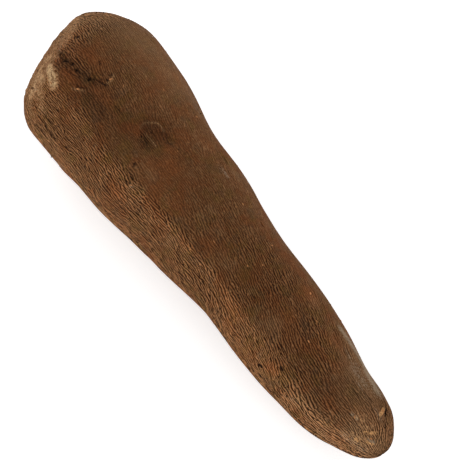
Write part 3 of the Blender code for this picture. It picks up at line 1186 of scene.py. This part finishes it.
class YAM_OT_stubs(bpy.types.Operator):
    """Builds the dry stubs of the rootlets on the skin"""

    bl_idname = "yam.stubs"
    bl_label = "Rootlet stubs"

    def execute(self, context):
        trim, colours = context.scene.yam_trim, context.scene.yam_colours
        tree, form = skin_surface(), tuber_form()
        scatter = np.random.default_rng(SCATTER_SEED + 1)
        places = [seen_from_above(tree, x, y) for x, y in SHOWN_STUBS]
        for _ in range(trim.stub_count):
            places.append(scattered_place(tree, form, STUB_SPREAD, *scatter.random(2)))
        shape = bmesh.new()
        for point, normal in places:
            self.add_stub(shape, trim, scatter, point, normal)
        material = trim_material("rootlet_dry", [part * 0.9 for part in colours.crest], colours.dark, 0.001)
        stubs = new_object(STUBS_NAME, mesh_of(shape, STUBS_NAME), material)
        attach(stubs, BODY)
        return {"FINISHED"}

    @staticmethod
    def add_stub(shape, trim, scatter, point, normal):
        """A short bent cone that starts under the skin."""
        size, lean, turn, bend = scatter.random(4)
        length = trim.stub_length * (0.6 + 0.8 * size)
        radius = trim.stub_radius * (0.7 + 0.6 * size)
        verts = bmesh.ops.create_cone(
            shape, cap_ends=True, segments=9, radius1=radius, radius2=radius * 0.55, depth=length + radius
        )["verts"]
        top = [vert for vert in verts if vert.co.z > 0.0]
        bmesh.ops.translate(shape, verts=verts, vec=(0.0, 0.0, 0.5 * (length + radius) - radius))
        bmesh.ops.translate(shape, verts=top, vec=(length * 0.35 * bend, 0.0, 0.0))
        cap = list({face for vert in top for face in vert.link_faces if len(face.verts) > 4})
        bmesh.ops.inset_individual(shape, faces=cap, thickness=radius * 0.2, depth=radius * 0.2)
        lean = Matrix.Rotation(STUB_LEAN * lean, 4, "Y")
        place = frame_on(point, normal, math.tau * turn) @ lean
        found = set(verts) | {vert for face in cap for vert in face.verts}
        bmesh.ops.transform(shape, matrix=place, verts=list(found))


class YAM_OT_flakes(bpy.types.Operator):
    """Builds the loose flakes of skin"""

    bl_idname = "yam.flakes"
    bl_label = "Skin flakes"

    def execute(self, context):
        trim, colours = context.scene.yam_trim, context.scene.yam_colours
        tree, form = skin_surface(), tuber_form()
        scatter = np.random.default_rng(SCATTER_SEED + 2)
        places = []
        for x, y, turn, size in SHOWN_FLAKES:
            places.append((*seen_from_above(tree, x, y), math.radians(turn), size))
        for _ in range(trim.flake_count):
            row, share, turn, size = scatter.random(4)
            place = scattered_place(tree, form, FLAKE_SPREAD, row, share)
            places.append((*place, (turn - 0.5) * FLAKE_TURN, 0.35 + 0.5 * size))
        shape = bmesh.new()
        for point, normal, turn, size in places:
            self.add_flake(shape, trim, scatter, frame_on(point, normal, turn), size)
        pale = [part * 1.7 for part in colours.crest]
        material = trim_material("skin_flake", pale, colours.crest, 0.0015)
        flakes = new_object(FLAKES_NAME, mesh_of(shape, FLAKES_NAME), material)
        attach(flakes, BODY)
        return {"FINISHED"}

    @staticmethod
    def add_flake(shape, trim, scatter, place, size):
        """A thin ragged sheet, longer along the grain, whose one edge curls up off the skin."""
        flake = bmesh.new()
        bmesh.ops.create_grid(flake, x_segments=7, y_segments=4, size=0.5)
        length = trim.flake_size * size
        width = length * (0.30 + 0.22 * scatter.random())
        for vert in flake.verts:
            x, y = vert.co.x, vert.co.y
            reach = 1.0 - 0.5 * (2.0 * x) ** 2 + 0.25 * (scatter.random() - 0.5)
            curl = (y + 0.5) ** 2
            vert.co = (x * length, y * width * reach, trim.flake_lift * size * (curl - 0.25 * (2 * x) ** 2))
        bmesh.ops.recalc_face_normals(flake, faces=flake.faces)
        bmesh.ops.solidify(flake, geom=flake.faces, thickness=trim.flake_thickness)
        bmesh.ops.recalc_face_normals(flake, faces=flake.faces)
        bmesh.ops.transform(flake, matrix=place, verts=flake.verts)
        mesh = mesh_of(flake, "flake")
        shape.from_mesh(mesh)
        bpy.data.meshes.remove(mesh)


class YAM_OT_stage(bpy.types.Operator):
    """Builds the pale floor, the soft light and the camera"""

    bl_idname = "yam.stage"
    bl_label = "Stage"

    TARGET_HEIGHT = 0.045
    TARGET_RIGHT = 0.0190  # the photograph's middle, from the tuber's, along the picture's two axes
    TARGET_UP = -0.0047
    FLOOR_DROP = 0.0002
    SIDE_LIGHTS = (
        ("light_front", (0.15, -1.15, 0.50)),
        ("light_back", (-0.15, 1.15, 0.50)),
        ("light_crown", (-1.20, 0.0, 0.55)),
        ("light_tip", (1.20, 0.0, 0.55)),
    )

    def execute(self, context):
        stage = context.scene.yam_stage
        self.add_floor(stage)
        self.add_light(context, stage)
        self.add_camera(context, stage)
        return {"FINISHED"}

    def add_floor(self, stage):
        shape = bmesh.new()
        bmesh.ops.create_grid(shape, x_segments=8, y_segments=8, size=0.5 * stage.floor_size)
        bmesh.ops.translate(shape, verts=shape.verts, vec=(0.0, 0.0, -self.FLOOR_DROP))
        material, _, shader = new_material("floor_matt")
        shader.inputs["Base Color"].default_value = tint(stage.floor_colour)
        shader.inputs["Roughness"].default_value = 0.9
        shader.inputs["Emission Color"].default_value = (1.0, 1.0, 1.0, 1.0)
        shader.inputs["Emission Strength"].default_value = stage.floor_glow
        new_object(FLOOR_NAME, mesh_of(shape, FLOOR_NAME), material)

    def add_light(self, context, stage):
        scene = context.scene
        scene.view_settings.view_transform = "Standard"
        world = bpy.data.worlds.new("soft_sky")
        scene.world = world
        world.use_nodes = True
        sky = world.node_tree.nodes["Background"].inputs
        sky["Color"].default_value = (1.0, 1.0, 1.0, 1.0)
        sky["Strength"].default_value = stage.sky
        for name, place in self.SIDE_LIGHTS:
            lamp = bpy.data.lights.new(name, "AREA")
            lamp.energy = stage.side_light
            lamp.size = stage.side_size
            obj = bpy.data.objects.new(name, lamp)
            obj.location = place
            obj.rotation_euler = Vector(place).to_track_quat("Z", "Y").to_euler()
            scene.collection.objects.link(obj)

    def add_camera(self, context, stage):
        turn, rise = stage.azimuth, stage.elevation
        right = Vector((math.cos(turn), math.sin(turn), 0.0))
        ahead = Vector((-math.sin(turn), math.cos(turn), 0.0))
        back = Vector((0.0, 0.0, math.sin(rise))) - ahead * math.cos(rise)
        up = back.cross(right)
        target = Vector((0.0, 0.0, self.TARGET_HEIGHT)) + right * self.TARGET_RIGHT + up * self.TARGET_UP
        lens = bpy.data.cameras.new("camera")
        lens.lens = stage.lens
        lens.sensor_width = 36.0
        camera = bpy.data.objects.new("camera", lens)
        axes = Matrix((right, up, back)).transposed().to_4x4()
        camera.matrix_world = Matrix.Translation(target + back * stage.distance) @ axes
        context.scene.collection.objects.link(camera)
        context.scene.camera = camera


class YAM_PT_look(bpy.types.Panel):
    """Lists what the add-on builds"""

    bl_idname = "YAM_PT_look"
    bl_label = "Yam tuber"
    bl_space_type = "VIEW_3D"
    bl_region_type = "UI"
    bl_category = "Yam"

    def draw(self, context):
        for operator in OPERATORS:
            self.layout.operator(operator.bl_idname)
        for name in SETTINGS:
            group = getattr(context.scene, name)
            box = self.layout.box()
            for field in group.bl_rna.properties:
                if field.identifier not in ("rna_type", "name"):
                    box.prop(group, field.identifier)


SETTINGS = {
    "yam_skin": YamSkinSettings,
    "yam_colours": YamColourSettings,
    "yam_trim": YamTrimSettings,
    "yam_stage": YamStageSettings,
}
OPERATORS = (YAM_OT_skin, YAM_OT_stubs, YAM_OT_flakes, YAM_OT_stage)
CLASSES = (*SETTINGS.values(), *OPERATORS, YAM_PT_look)


def register():
    for made in CLASSES:
        bpy.utils.register_class(made)
    for name, group in SETTINGS.items():
        setattr(bpy.types.Scene, name, PointerProperty(type=group))


def unregister():
    for name in SETTINGS:
        delattr(bpy.types.Scene, name)
    for made in reversed(CLASSES):
        bpy.utils.unregister_class(made)


def main():
    register()
    bpy.ops.yam.skin()
    bpy.ops.yam.stubs()
    bpy.ops.yam.flakes()
    bpy.ops.yam.stage()


if __name__ == "__main__":
    main()
